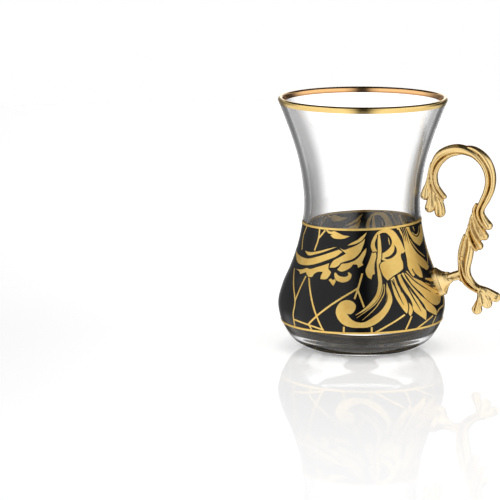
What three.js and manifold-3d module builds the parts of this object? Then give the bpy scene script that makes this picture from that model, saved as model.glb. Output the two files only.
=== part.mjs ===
// Turkish tea glass with a cast scroll handle. Millimetres, +Z up.
// The glass is one piece of clear pressed glass: a flat foot, a round belly, a narrow waist and a
// flared mouth with a half-round lip. The handle is one metal casting glued to the belly by an
// oval trumpet pad. It rises from a leafy foot through a stem with hanging leaves into a hook that
// curls back towards the waist. The origin is the centre of the foot, and the handle points along +X.
import * as THREE from 'three';
import { mergeVertices } from 'three/addons/utils/BufferGeometryUtils.js';
import Module from 'manifold-3d';

const wasm = await Module();
wasm.setup();

// Glass sizes
const FOOT_RADIUS = 16.5;
const BELLY_RADIUS = 32.6;
const BELLY_HEIGHT = 18.4;
const WAIST_RADIUS = 22.6;
const WAIST_HEIGHT = 56.4;
const MOUTH_RADIUS = 33;
const MOUTH_HEIGHT = 97.3;
const LIP_RADIUS = 0.95;
const BELLY_WALL = 2.4;
const FLOOR_HEIGHT = 8.6;
const BOWL_HEIGHT = 16;
const GLASS_SIDES = 60;
const PLUG_SIDES = 2 * GLASS_SIDES;
const MERGE_DISTANCE = 1e-4;

// The outer outline from the foot to the mouth, as [radius, height]
const OUTER_STATIONS = [
  [FOOT_RADIUS, 0],
  [21.2, 0.6],
  [26.4, 3.4],
  [29.6, 7.4],
  [31.8, 12.4],
  [BELLY_RADIUS, BELLY_HEIGHT],
  [30.8, 25.4],
  [27.8, 32.4],
  [25.1, 40.4],
  [23.4, 48.4],
  [WAIST_RADIUS, WAIST_HEIGHT],
  [23.1, 64.4],
  [24.6, 73.4],
  [27.2, 82.4],
  [30.2, 90.4],
  [MOUTH_RADIUS, MOUTH_HEIGHT],
];
const OUTER_STEPS = 24;
const PLUG_STEPS = 2 * OUTER_STEPS;
const INNER_STEPS = 18;
const BOWL_STEPS = 4;
const LIP_STEPS = 3;
const HALVINGS = 30;

// Handle sizes
const GLUE_GAP = 0.3;
const PAD_RADIUS = 5.7;
const PAD_SQUEEZE = 0.66;
const PAD_CENTRE = [31.7, 27.8];
const PAD_OUTLINE = [[0, -2.6], [PAD_RADIUS, -2.6], [PAD_RADIUS, 0.2], [4.7, 0.9], [3.5, 1.9],
  [2.6, 3.1], [2.1, 4.4], [0, 5.2]];
const PAD_TILT = THREE.MathUtils.degToRad(25);
const PAD_SIDES = 30;
const STRAND_SIDES = 10;
const STEPS_PER_SPAN = 2;
const CAP_ANGLES = [30, 62].map(THREE.MathUtils.degToRad);

const outerCurve = new THREE.SplineCurve(OUTER_STATIONS.map(([r, z]) => new THREE.Vector2(r, z)));

// Share of the way up the outer curve at which it reaches a height, found by halving
function shareAtHeight(height) {
  let low = 0;
  let high = 1;
  for (let i = 0; i < HALVINGS; i += 1) {
    const middle = (low + high) / 2;
    if (outerCurve.getPointAt(middle).y < height) low = middle;
    else high = middle;
  }
  return low;
}

// A point of the outer curve moved along the curve's own normal, outwards if positive
function offsetPoint(share, distance) {
  const point = outerCurve.getPointAt(share);
  const tangent = outerCurve.getTangentAt(share);
  return new THREE.Vector2(point.x + tangent.y * distance, point.y - tangent.x * distance);
}

// Turns a [radius, height] outline into a solid of revolution about +Z
function turned(outline, sides) {
  const geometry = new THREE.LatheGeometry(outline, sides);
  geometry.rotateX(Math.PI / 2);
  return geometry;
}

// Clear glass: foot, outer wall, half-round lip, inner wall and rounded bowl floor
function glassGeometry() {
  const outline = [new THREE.Vector2(0, 0)];
  for (let i = 0; i <= OUTER_STEPS; i += 1) outline.push(outerCurve.getPointAt(i / OUTER_STEPS));
  const mouthTangent = outerCurve.getTangentAt(1);
  const lipCentre = offsetPoint(1, -LIP_RADIUS);
  const lipStart = Math.atan2(-mouthTangent.x, mouthTangent.y);
  for (let i = 1; i <= LIP_STEPS; i += 1) {
    const angle = lipStart + (Math.PI * i) / (LIP_STEPS + 1);
    outline.push(new THREE.Vector2(
      lipCentre.x + LIP_RADIUS * Math.cos(angle),
      lipCentre.y + LIP_RADIUS * Math.sin(angle),
    ));
  }
  const bowlShare = shareAtHeight(BOWL_HEIGHT);
  for (let i = 0; i <= INNER_STEPS; i += 1) {
    const down = i / INNER_STEPS;
    const wall = THREE.MathUtils.lerp(2 * LIP_RADIUS, BELLY_WALL, down);
    outline.push(offsetPoint(THREE.MathUtils.lerp(1, bowlShare, down), -wall));
  }
  const bowlEdge = outline[outline.length - 1];
  for (let i = 1; i <= BOWL_STEPS; i += 1) {
    const angle = (Math.PI / 2) * (i / BOWL_STEPS);
    const radius = i === BOWL_STEPS ? 0 : bowlEdge.x * Math.cos(angle);
    const drop = (bowlEdge.y - FLOOR_HEIGHT) * Math.sin(angle);
    outline.push(new THREE.Vector2(radius, bowlEdge.y - drop));
  }
  return turned(outline, GLASS_SIDES);
}

// The glass's outer skin grown by the glue gap, as a plug that trims the pad to fit the belly
function plugGeometry() {
  const outline = [new THREE.Vector2(0, -GLUE_GAP)];
  for (let i = 0; i <= PLUG_STEPS; i += 1) outline.push(offsetPoint(i / PLUG_STEPS, GLUE_GAP));
  outline.push(new THREE.Vector2(0, MOUTH_HEIGHT));
  return turned(outline, PLUG_SIDES);
}

// Closed triangle mesh from rings of points, with a pole point at each end
function ringsGeometry(startPole, rings, endPole) {
  const sides = rings[0].length;
  const positions = [...startPole.toArray()];
  for (const ring of rings) for (const point of ring) positions.push(...point.toArray());
  positions.push(...endPole.toArray());
  const last = positions.length / 3 - 1;
  const index = [];
  for (let k = 0; k < sides; k += 1) {
    const next = (k + 1) % sides;
    index.push(0, 1 + next, 1 + k);
    for (let j = 0; j + 1 < rings.length; j += 1) {
      const here = 1 + j * sides;
      const there = here + sides;
      index.push(here + k, here + next, there + next, here + k, there + next, there + k);
    }
    const end = last - sides;
    index.push(last, end + k, end + next);
  }
  const geometry = new THREE.BufferGeometry();
  geometry.setAttribute('position', new THREE.Float32BufferAttribute(positions, 3));
  geometry.setIndex(index);
  return geometry;
}

// A cast rib in the handle's own plane, with round ends. Each station is [x, z, half width in the
// plane, half depth across it], and side moves the whole rib along Y.
function strand(stations, side = 0) {
  const curve = new THREE.CatmullRomCurve3(
    stations.map(([x, z]) => new THREE.Vector3(x, side, z)), false, 'centripetal');
  const spans = stations.length - 1;
  const across = new THREE.Vector3(0, 1, 0);
  const ringAt = (share, along, scale) => {
    const position = share * spans;
    const first = Math.min(Math.floor(position), spans - 1);
    const blend = position - first;
    const width = THREE.MathUtils.lerp(stations[first][2], stations[first + 1][2], blend);
    const depth = THREE.MathUtils.lerp(stations[first][3], stations[first + 1][3], blend);
    const tangent = curve.getTangent(share);
    const sideways = new THREE.Vector3().crossVectors(across, tangent);
    const centre = curve.getPoint(share).addScaledVector(tangent, along * width);
    const ring = [];
    for (let k = 0; k < STRAND_SIDES; k += 1) {
      const angle = (2 * Math.PI * k) / STRAND_SIDES;
      ring.push(centre.clone()
        .addScaledVector(sideways, width * scale * Math.cos(angle))
        .addScaledVector(across, depth * scale * Math.sin(angle)));
    }
    return { ring, centre };
  };
  const rings = [];
  for (const angle of [...CAP_ANGLES].reverse()) {
    rings.push(ringAt(0, -Math.sin(angle), Math.cos(angle)).ring);
  }
  const steps = spans * STEPS_PER_SPAN;
  for (let i = 0; i <= steps; i += 1) rings.push(ringAt(i / steps, 0, 1).ring);
  for (const angle of CAP_ANGLES) rings.push(ringAt(1, Math.sin(angle), Math.cos(angle)).ring);
  return ringsGeometry(ringAt(0, -1, 0).centre, rings, ringAt(1, 1, 0).centre);
}

// Trumpet pad: an oval disc square to the belly that narrows to the thickness of the arm
function padGeometry() {
  const outline = PAD_OUTLINE.map(([r, z]) => new THREE.Vector2(r, z));
  const geometry = turned(outline, PAD_SIDES);
  geometry.scale(1, PAD_SQUEEZE, 1);
  geometry.rotateY(Math.PI / 2 - PAD_TILT);
  geometry.translate(PAD_CENTRE[0], 0, PAD_CENTRE[1]);
  return geometry;
}

// Hook: a broad rib and a thinner one over the top, and a fine curl inside the left-hand bend
const HOOK = [
  [[36.4, 80.4, 0.7, 1.2], [40.6, 80.7, 1.25, 1.7], [44.2, 80.2, 1.4, 1.8], [47.2, 78.4, 1.45, 1.9],
    [49.4, 76.0, 1.4, 2.0], [51.0, 72.6, 1.3, 2.0], [51.9, 68.4, 1.2, 2.0], [51.4, 64.1, 1.15, 2.0],
    [49.9, 60.6, 1.1, 1.9], [48.3, 57.4, 1.05, 1.9], [48.0, 54.8, 1.05, 1.9], [49.0, 52.6, 1.35, 2.0],
    [50.2, 51.0, 1.7, 2.1], [50.6, 50.0, 1.75, 2.1]],
  [[27.9, 66.0, 0.9, 1.6], [27.6, 69.3, 1.35, 1.9], [28.4, 72.0, 1.55, 2.0], [30.4, 75.3, 1.8, 2.1],
    [33.3, 78.1, 2.0, 2.2], [36.8, 79.7, 2.15, 2.2], [41.0, 79.2, 1.85, 2.2], [45.2, 76.7, 1.45, 2.2],
    [48.1, 73.2, 1.3, 2.2], [49.8, 68.8, 1.2, 2.2], [49.5, 64.8, 1.15, 2.1], [48.3, 61.3, 1.15, 2.1],
    [46.8, 58.2, 1.15, 2.1], [46.3, 55.4, 1.2, 2.2], [46.9, 52.7, 1.3, 2.3], [48.4, 50.4, 1.1, 2.3]],
  [[36.8, 77.7, 0.5, 1.2], [34.3, 76.2, 0.8, 1.5], [31.8, 73.9, 0.85, 1.6], [30.0, 71.2, 0.85, 1.6],
    [29.4, 68.3, 0.85, 1.6], [29.8, 65.5, 0.8, 1.5], [30.9, 63.1, 0.75, 1.4], [32.4, 61.2, 0.75, 1.3],
    [33.2, 60.4, 0.85, 1.3]],
  [[28.6, 67.8, 0.8, 1.4], [28.6, 65.2, 0.8, 1.4], [29.4, 62.8, 0.75, 1.4], [30.9, 60.8, 0.6, 1.2],
    [32.2, 59.8, 0.35, 0.8]],
];

// Three rounded leaf lobes hang from the end of the hook, close to the waist of the glass
const HOOK_LEAVES = [
  [[27.2, 70.6, 0.5, 1.2], [26.8, 67.6, 0.95, 1.5], [26.1, 64.6, 1.35, 1.8], [25.4, 62.0, 1.65, 2.0]],
  [[28.1, 64.6, 0.7, 1.2], [27.6, 60.8, 1.3, 1.6], [26.9, 57.8, 1.75, 1.9], [26.6, 56.4, 1.85, 1.9]],
  [[28.9, 63.0, 0.9, 1.3], [29.9, 59.6, 1.6, 1.8], [30.8, 56.6, 2.15, 2.1], [31.1, 55.0, 2.25, 2.1]],
];

// Leaf on the stem: a veined edge and two more lobes below the pair that end the hook's ribs
const STEM_LEAVES = [
  [[46.0, 58.4, 0.5, 1.2], [44.8, 56.4, 0.8, 1.6], [44.1, 53.2, 0.9, 1.9], [43.0, 49.2, 0.9, 2.1],
    [42.4, 46.0, 0.9, 2.2], [43.2, 43.2, 0.9, 2.3], [44.6, 41.6, 0.8, 2.3]],
  [[45.3, 56.6, 0.6, 1.4], [45.2, 53.4, 1.2, 1.9], [46.1, 50.4, 1.7, 2.3], [47.4, 48.2, 1.9, 2.5],
    [48.5, 46.2, 2.0, 2.4]],
  [[44.0, 52.8, 0.6, 1.4], [43.9, 49.2, 1.3, 1.9], [44.7, 46.2, 1.8, 2.3], [45.9, 43.9, 1.95, 2.5],
    [46.8, 42.0, 1.95, 2.4]],
];

// Stem: one smooth curved bar from behind the leaf to the neck of the foot leaf
const STEM = [
  [[44.6, 54.4, 0.8, 1.4], [43.6, 49.4, 1.3, 1.8], [42.7, 45.0, 1.95, 2.1], [42.0, 40.6, 2.75, 2.3],
    [41.2, 36.7, 2.75, 2.3], [41.0, 32.8, 2.6, 2.3], [42.0, 29.6, 2.4, 2.3], [43.8, 27.3, 2.1, 2.2],
    [45.8, 25.6, 1.8, 2.1], [47.2, 24.6, 1.6, 1.9]],
];
const STEM_BEAD = [[40.3, 38.0, 0.75, 0.8], [40.1, 36.5, 0.75, 0.8]];
const BEAD_SIDE = 1.9;

// Foot leaf: three rounded lobes that fan out below the neck
const FOOT_LEAVES = [
  [[46.8, 25.2, 1.0, 1.7], [47.0, 22.2, 1.15, 1.7], [46.5, 19.4, 1.8, 1.9], [46.1, 17.4, 2.1, 1.9]],
  [[47.4, 25.0, 1.0, 1.7], [49.0, 22.8, 1.5, 1.8], [50.1, 21.0, 2.0, 1.9], [50.4, 20.1, 2.1, 1.9]],
  [[47.8, 25.4, 1.1, 1.7], [50.8, 24.6, 1.5, 1.8], [52.6, 23.3, 1.9, 1.9], [53.3, 22.5, 1.95, 1.9]],
];

// Arm from the trumpet pad up to the stem
const ARM = [[[33.6, 28.7, 2.2, 1.9], [36.2, 29.7, 2.0, 1.8], [38.6, 30.6, 1.95, 1.8],
  [41.0, 31.2, 2.0, 1.8]]];

// A closed geometry as a manifold solid, for joining and cutting
function solidOf(geometry) {
  const bare = geometry.clone();
  bare.deleteAttribute('normal');
  bare.deleteAttribute('uv');
  const merged = mergeVertices(bare, MERGE_DISTANCE);
  const triVerts = [];
  const index = merged.index.array;
  for (let i = 0; i < index.length; i += 3) {
    const [a, b, c] = [index[i], index[i + 1], index[i + 2]];
    if (a !== b && b !== c && c !== a) triVerts.push(a, b, c);
  }
  return new wasm.Manifold(new wasm.Mesh({
    numProp: 3,
    vertProperties: new Float32Array(merged.attributes.position.array),
    triVerts: new Uint32Array(triVerts),
  }));
}

// A manifold solid back as a geometry with flat facets
function geometryOf(solid) {
  const mesh = solid.getMesh();
  const geometry = new THREE.BufferGeometry();
  geometry.setAttribute('position', new THREE.Float32BufferAttribute(mesh.vertProperties, 3));
  geometry.setIndex(new THREE.Uint32BufferAttribute(mesh.triVerts, 1));
  geometry.computeVertexNormals();
  return geometry;
}

// Cast handle: every rib, leaf and bead joined with the pad, then trimmed to the belly
function handleGeometry() {
  const ribs = [...HOOK, ...HOOK_LEAVES, ...STEM_LEAVES, ...STEM, ...FOOT_LEAVES, ...ARM];
  const parts = ribs.map((stations) => strand(stations));
  parts.push(strand(STEM_BEAD, BEAD_SIDE), strand(STEM_BEAD, -BEAD_SIDE), padGeometry());
  const joined = parts.map(solidOf).reduce((whole, piece) => whole.add(piece));
  return geometryOf(joined.subtract(solidOf(plugGeometry())));
}

const clearGlass = new THREE.MeshStandardMaterial({
  color: 0xeef3f2, roughness: 0.03, metalness: 0, transparent: true, opacity: 0.35,
});
const brightGold = new THREE.MeshStandardMaterial({ color: 0xe3bf62, roughness: 0.22, metalness: 1 });

const teaGlass = new THREE.Group();
const glass = new THREE.Mesh(glassGeometry(), clearGlass);
glass.name = 'glass';
const handle = new THREE.Mesh(handleGeometry(), brightGold);
handle.name = 'handle';
teaGlass.add(glass, handle);

export default teaGlass;
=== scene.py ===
# %% [markdown]
# # A Turkish tea glass with a cast gold handle
#
# The real thing is a small waisted glass of clear soda-lime glass. A black enamel band with gold
# scrolls is fired round its lower half, its rim is gilded, and a cast, gold-plated handle is glued
# to its belly. The solids arrive as a fixed frame, and this script gives every surface its fine
# shape and finish. Blender works in metres, so every size below is in millimetres times MM.

import math

import bmesh
import bpy
import numpy as np
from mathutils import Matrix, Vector
from mathutils.geometry import delaunay_2d_cdt


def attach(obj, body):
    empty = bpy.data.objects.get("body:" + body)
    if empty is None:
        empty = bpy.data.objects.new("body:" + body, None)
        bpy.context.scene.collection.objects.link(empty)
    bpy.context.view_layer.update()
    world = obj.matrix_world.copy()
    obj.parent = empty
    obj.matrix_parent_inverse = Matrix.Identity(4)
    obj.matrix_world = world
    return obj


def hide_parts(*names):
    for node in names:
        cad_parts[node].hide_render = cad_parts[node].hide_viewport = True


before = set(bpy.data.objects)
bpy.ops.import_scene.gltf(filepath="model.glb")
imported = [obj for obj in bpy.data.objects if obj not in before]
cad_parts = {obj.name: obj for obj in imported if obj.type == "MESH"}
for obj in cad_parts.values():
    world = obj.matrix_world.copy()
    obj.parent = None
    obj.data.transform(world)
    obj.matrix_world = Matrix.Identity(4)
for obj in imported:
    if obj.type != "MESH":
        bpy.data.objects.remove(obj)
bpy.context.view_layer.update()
MM = 0.001
print("solids:", sorted(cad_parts))

# %% [markdown]
# ## The camera
#
# A long lens keeps the glass's sides nearly parallel, as in a catalogue picture. The camera stands
# 10 degrees above the table's level and 17 degrees round towards the handle, so that the handle
# comes slightly forward. It is moved sideways, which leaves the empty half of the frame on the left.

# %% The camera
VIEW_TURN = math.radians(17)
VIEW_DROP = math.radians(10)
CAMERA_DISTANCE = 1250 * MM
CAMERA_HEIGHT = 258.7 * MM
CAMERA_SIDESTEP = -43.7 * MM
LENS = 234


def placed(name, data):
    """A new object in the scene that carries data: a mesh, a lamp or a camera."""
    made = bpy.data.objects.new(name, data)
    bpy.context.scene.collection.objects.link(made)
    return made


right = Vector((math.cos(VIEW_TURN), math.sin(VIEW_TURN), 0))
ahead = Vector((-math.sin(VIEW_TURN), math.cos(VIEW_TURN), 0))
camera = placed("camera", bpy.data.cameras.new("camera"))
camera.data.lens = LENS
camera.location = right * CAMERA_SIDESTEP - ahead * CAMERA_DISTANCE + Vector((0, 0, CAMERA_HEIGHT))
camera.rotation_euler = (math.pi / 2 - VIEW_DROP, 0, VIEW_TURN)
bpy.context.scene.camera = camera
print("camera at", [round(v, 3) for v in camera.location])

# %% [markdown]
# ## Helpers for materials
#
# Paint charts and colour pickers give sRGB colours, but light adds up linearly, so each colour goes
# through one function on its way into a shader. A second function adds a node with its settings and
# its links in one line, a third starts a material, and a fourth gives it the fine unevenness that
# every fired or plated skin has. This keeps each material short enough to read.

# %% Helpers for materials
def linear(colour):
    """An sRGB hex colour such as "E9BE55" as linear red, green, blue and alpha."""
    parts = [int(colour[i : i + 2], 16) / 255 for i in (0, 2, 4)]
    return [v / 12.92 if v <= 0.04045 else ((v + 0.055) / 1.055) ** 2.4 for v in parts] + [1.0]


def add(tree, kind, inputs=(), **settings):
    """A new node of a tree. inputs maps a socket's name or number to a value or to another socket."""
    made = tree.nodes.new(kind)
    for name, value in settings.items():
        setattr(made, name, value)
    for name, value in dict(inputs).items():
        if isinstance(value, bpy.types.NodeSocket):
            tree.links.new(value, made.inputs[name])
        else:
            made.inputs[name].default_value = value
    return made


def surface(name, settings):
    """A new material, its node tree and its shader, with settings by the names of the inputs."""
    material = bpy.data.materials.new(name)
    material.use_nodes = True
    shader = material.node_tree.nodes["Principled BSDF"]
    for socket, value in settings.items():
        shader.inputs[socket].default_value = value
    return material, material.node_tree, shader


def ripple(tree, shader, size, strength, depth, detail=2.0):
    """Makes a surface slightly uneven, in waves whose size and depth are in millimetres."""
    spot = add(tree, "ShaderNodeTexCoord")
    wave = add(tree, "ShaderNodeTexNoise", {
        "Vector": spot.outputs["Object"], "Scale": 1 / (size * MM), "Detail": detail})
    relief = add(tree, "ShaderNodeBump", {
        "Height": wave.outputs["Fac"], "Strength": strength, "Distance": depth * MM})
    tree.links.new(relief.outputs["Normal"], shader.inputs["Normal"])


print("a mid grey of sRGB is", round(linear("808080")[0], 3), "in linear light")


# %% [markdown]
# ## The outline of the glass
#
# Everything round on this object follows one curve: the outer outline of the glass. It is a smooth
# curve through a few measured stations, foot to mouth, the same ones that the solid uses. From it
# come the wall's inside, the enamel's skin, the gilding and the place of every ornament.

# %% The outline of the glass
OUTER_STATIONS = [
    (16.5, 0), (21.2, 0.6), (26.4, 3.4), (29.6, 7.4), (31.8, 12.4), (32.6, 18.4), (30.8, 25.4),
    (27.8, 32.4), (25.1, 40.4), (23.4, 48.4), (22.6, 56.4), (23.1, 64.4), (24.6, 73.4),
    (27.2, 82.4), (30.1, 90.4), (32.8, 97.3),
]
OUTLINE_STEPS = 600


def smooth(points, count):
    """A smooth curve through points, as count points evenly spread between the stations."""
    p = np.array(points, float)
    at = np.linspace(0, len(p) - 1, count)
    i = np.minimum(at.astype(int), len(p) - 2)
    t = (at - i)[:, None]
    p0, p1 = p[np.maximum(i - 1, 0)], p[i]
    p2, p3 = p[i + 1], p[np.minimum(i + 2, len(p) - 1)]
    v0, v1 = (p2 - p0) / 2, (p3 - p1) / 2
    return (2 * p1 - 2 * p2 + v0 + v1) * t**3 + (3 * p2 - 3 * p1 - 2 * v0 - v1) * t**2 + v0 * t + p1


OUTER = smooth(OUTER_STATIONS, OUTLINE_STEPS)
slope = np.gradient(OUTER, axis=0)
slope /= np.linalg.norm(slope, axis=1)[:, None]
NORMALS = np.stack([slope[:, 1], -slope[:, 0]], axis=1)


def radius_at(height):
    """Outer radius of the glass at a height, both in millimetres."""
    return np.interp(height, OUTER[:, 1], OUTER[:, 0])


def skin(low, high, lift, count):
    """Points of the outline between two heights, moved off the glass by lift."""
    heights = np.linspace(low, high, count)
    points = [np.interp(heights, OUTER[:, 1], OUTER[:, k]) for k in (0, 1)]
    normals = [np.interp(heights, OUTER[:, 1], NORMALS[:, k]) for k in (0, 1)]
    return np.stack([points[k] + lift * normals[k] for k in (0, 1)], axis=1)


waist = OUTER[OUTLINE_STEPS // 3 :, 0].min()
print("waist radius", round(float(waist), 2), "mm, mouth radius", OUTER[-1, 0], "mm")

# %% [markdown]
# ## Turning an outline into a mesh
#
# A blown or pressed glass is round, so its mesh is a turned one: the outline is repeated round the
# axis. A hand-written loop gives full control over the poles and over outlines that close on
# themselves, such as the thin ring of gilding. Edges sharper than an angle stay crisp, so the flat
# foot doesn't look pillowed.

# %% Turning an outline into a mesh
TURN_SIDES = 256
CRISP = math.radians(35)


def new_piece(name, verts, faces, material):
    """A mesh object from millimetre points, with smooth faces and crisp edges, facing outwards."""
    mesh = bpy.data.meshes.new(name)
    mesh.from_pydata([tuple(v) for v in np.asarray(verts) * MM], [], [tuple(f) for f in faces])
    finish_mesh(mesh)
    mesh.materials.append(material)
    return placed(name, mesh)


def finish_mesh(mesh):
    """Merges doubles, turns the faces outwards and marks the edges that stay crisp."""
    edit = bmesh.new()
    edit.from_mesh(mesh)
    bmesh.ops.remove_doubles(edit, verts=edit.verts, dist=1e-7)
    bmesh.ops.recalc_face_normals(edit, faces=edit.faces)
    for edge in edit.edges:
        edge.smooth = len(edge.link_faces) == 2 and edge.calc_face_angle() < CRISP
    for face in edit.faces:
        face.smooth = True
    edit.to_mesh(mesh)
    edit.free()


def turned(name, outline, material):
    """A turned piece. The outline closes on itself, or starts and ends on the axis.

    It may also be a function of the angle, for a band that doesn't run quite level.
    """
    angles = np.linspace(0, 2 * math.pi, TURN_SIDES, endpoint=False)
    slices = [np.asarray(outline(a) if callable(outline) else outline, float) for a in angles]
    ring = [[(r * math.cos(a), r * math.sin(a), z) for r, z in line] for line, a in zip(slices, angles)]
    outline = slices[0]
    on_axis = outline[0, 0] == 0
    count = len(outline)
    faces = []
    for side in range(TURN_SIDES):
        here, there = side * count, (side + 1) % TURN_SIDES * count
        for i in range(count - 1 if on_axis else count):
            j = (i + 1) % count
            if outline[i, 0] == 0:
                faces.append((here + i, there + j, here + j))
            elif outline[j, 0] == 0:
                faces.append((here + i, there + i, here + j))
            else:
                faces.append((here + i, there + i, there + j, here + j))
    return new_piece(name, np.concatenate(ring), faces, material)


print("round pieces are turned in", TURN_SIDES, "steps")

# %% [markdown]
# ## Clear glass
#
# Soda-lime glass, pressed and then fire polished: perfectly clear, very smooth, and with an index of
# refraction of 1.52. What the eye sees is what it bends, so the thickness has to be real: a thin rim,
# a thicker belly and a heavy lens of glass in the foot. Good soda-lime glass of this thickness has
# hardly any colour of its own.

# %% Clear glass
LIP_RADIUS = 0.95
BELLY_WALL = 2.4
BOWL_HEIGHT = 16
FLOOR_HEIGHT = 8.6
GLASS_TINT = "FEFEFE"
GLASS_IOR = 1.52
GLASS_STEP = 4

clear_glass, tree, shader = surface("soda_lime_glass_fire_polished", {
    "Base Color": linear(GLASS_TINT), "Roughness": 0.0, "IOR": GLASS_IOR, "Transmission Weight": 1.0})


def lip_points(lift, steps=16):
    """The half-round lip from the outer wall over to the inner wall, lift outside the glass."""
    centre = OUTER[-1] - LIP_RADIUS * NORMALS[-1]
    start = math.atan2(NORMALS[-1, 1], NORMALS[-1, 0])
    turn = np.linspace(start, start + math.pi, steps)
    return centre + (LIP_RADIUS + lift) * np.stack([np.cos(turn), np.sin(turn)], axis=1)


def inner_points(lift=0.0):
    """The inner wall from the lip down to the edge of the bowl, lift inside the hollow."""
    keep = OUTER[:, 1] >= BOWL_HEIGHT
    length = np.cumsum(np.r_[0, np.linalg.norm(np.diff(OUTER[keep], axis=0), axis=1)])
    up = (length / length[-1])[:, None]
    wall = BELLY_WALL + (2 * LIP_RADIUS - BELLY_WALL) * up + lift
    return (OUTER[keep] - NORMALS[keep] * wall)[::-1]


def bowl_points(edge, steps=24):
    """The rounded floor of the hollow, from its edge to the axis."""
    turn = np.linspace(0, math.pi / 2, steps)[1:]
    points = np.stack([edge[0] * np.cos(turn), edge[1] - (edge[1] - FLOOR_HEIGHT) * np.sin(turn)], axis=1)
    points[-1, 0] = 0
    return points


inner = inner_points()
glass_outline = np.concatenate([
    [(0, 0)], OUTER[::GLASS_STEP], lip_points(0.0), inner[::GLASS_STEP], bowl_points(inner[-1]),
])
glass = turned("clear_glass", glass_outline, clear_glass)
print("clear glass:", len(glass.data.polygons), "faces")

# %% [markdown]
# ## Black enamel
#
# The dark ground is a ceramic enamel: ground glass and black pigment, printed and fired until it
# melts onto the wall. It is glossy, so it shows the studio's lights as broad grey sheets, though its
# fired skin is full of fine pits and gives back only half of what clean glass would. It is fused on,
# so no air lies behind it. Its body therefore reaches a little into the glass, and light inside the
# wall meets the enamel itself and not a gap.

# %% Black enamel
BAND_LOW = 11.5
BAND_HIGH = 50.3
SKEW_LOW = 0.45
SKEW_HIGH = 0.75
SUNK = 0.1
ENAMEL_LIFT = 0.03
BAND_STEPS = 80

black_enamel, tree, shader = surface("black_enamel_fired", {
    "Base Color": linear("0B0B0D"), "IOR": 1.5, "Specular IOR Level": 0.24})
spot = add(tree, "ShaderNodeTexCoord")
grain = add(tree, "ShaderNodeTexNoise", {"Vector": spot.outputs["Object"], "Scale": 1 / (2.5 * MM)})
rough = add(tree, "ShaderNodeMapRange", {"Value": grain.outputs["Fac"], "To Min": 0.08, "To Max": 0.13})
tree.links.new(rough.outputs["Result"], shader.inputs["Roughness"])


def band_edges(angle):
    """Heights of the band's lower and upper edge at an angle round the glass."""
    lean = math.sin(angle + math.pi / 2 - VIEW_TURN)
    return BAND_LOW + SKEW_LOW * lean, BAND_HIGH + SKEW_HIGH * lean


def band_outline(angle):
    """A slice through the enamel, from inside the glass to just outside it."""
    low, high = band_edges(angle)
    outside = skin(low, high, ENAMEL_LIFT, BAND_STEPS)
    return np.concatenate([outside, skin(low, high, -SUNK, BAND_STEPS)[::-1]])


enamel = turned("enamel_band", band_outline, black_enamel)
print("enamel band:", len(enamel.data.polygons), "faces")

# %% [markdown]
# ## Ribbons and patches: the alphabet of the ornament
#
# The print is made of two kinds of shape. A ribbon follows a spine and swells and thins on its way:
# stems, scratches, veins and hairs. A patch is an area between drawn edges that meet in sharp tips:
# leaves, feathers and the shield. Both are drawn on the unrolled glass, in degrees round from the
# front and millimetres up from the table. A width is a true width on the glass, so a ribbon is
# spread sideways in millimetres and only then turned back to degrees. Each shape is a closed slab,
# thin as paint, that shows the same on the outside and from within the glass.

# %% Ribbons and patches
CELL = 0.8
LAYER_STEP = 0.03
FIRST_LIFT = 0.05
MEAN_RADIUS = 27.5
SPINE_STEPS = 4
EDGE_STEPS = 5
FLATTEST = 0.2


def slab(turn, height, faces, layer):
    """Closes flat cells at (radians, height) points into a thin slab through the enamel."""
    lift = FIRST_LIFT + LAYER_STEP * layer
    top = np.stack([turn, height, np.full(len(turn), lift)], axis=1)
    verts = np.concatenate([top, top * (1, 1, 0) - (0, 0, SUNK + lift)])
    below = len(turn)
    sides = {(a, b) for face in faces for a, b in zip(face, face[1:] + face[:1])}
    walls = [(b, a, a + below, b + below) for a, b in sides if (b, a) not in sides]
    return verts, faces + [tuple(i + below for i in face[::-1]) for face in faces] + walls


def ribbon(spine, widths, layer, grow=0.0):
    """A slab along a spine of (degrees, height) points, with widths spread evenly along it."""
    rough = smooth(spine, 2 * SPINE_STEPS * len(spine))
    reach = np.radians(rough[:, 0]) * radius_at(rough[:, 1])
    length = np.hypot(np.diff(reach), np.diff(rough[:, 1])).sum()
    steps = max(SPINE_STEPS, int(length / CELL) + 1, SPINE_STEPS * len(spine))
    line = smooth(spine, steps)
    radius = radius_at(line[:, 1])
    stretch = np.interp(line[:, 1], OUTER[:, 1], 1 / np.maximum(slope[:, 1], FLATTEST))
    along = np.gradient(line, axis=0) * np.stack([np.radians(radius), stretch], axis=1)
    along /= np.linalg.norm(along, axis=1)[:, None] + 1e-12
    half = np.interp(np.linspace(0, len(widths) - 1, steps), np.arange(len(widths)), widths) / 2 + grow
    columns = max(2, int(2 * half.max() / CELL) + 1)
    offset = half[:, None] * np.linspace(-1, 1, columns + 1)[None, :]
    turn = np.radians(line[:, :1]) - along[:, 1:] * offset / radius[:, None]
    height = line[:, 1:] + along[:, :1] * offset / stretch[:, None]
    grid = np.arange(turn.size).reshape(turn.shape)
    quads = np.stack([grid[:-1, :-1], grid[:-1, 1:], grid[1:, 1:], grid[1:, :-1]], axis=-1).reshape(-1, 4)
    return slab(turn.ravel(), height.ravel(), [tuple(map(int, quad)) for quad in quads], layer)


def closed(edges):
    """Edges with their starts put in: each starts where the one before it in the ring ends."""
    return [[before[-1]] + edge for before, edge in zip(edges[-1:] + edges[:-1], edges)]


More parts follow.
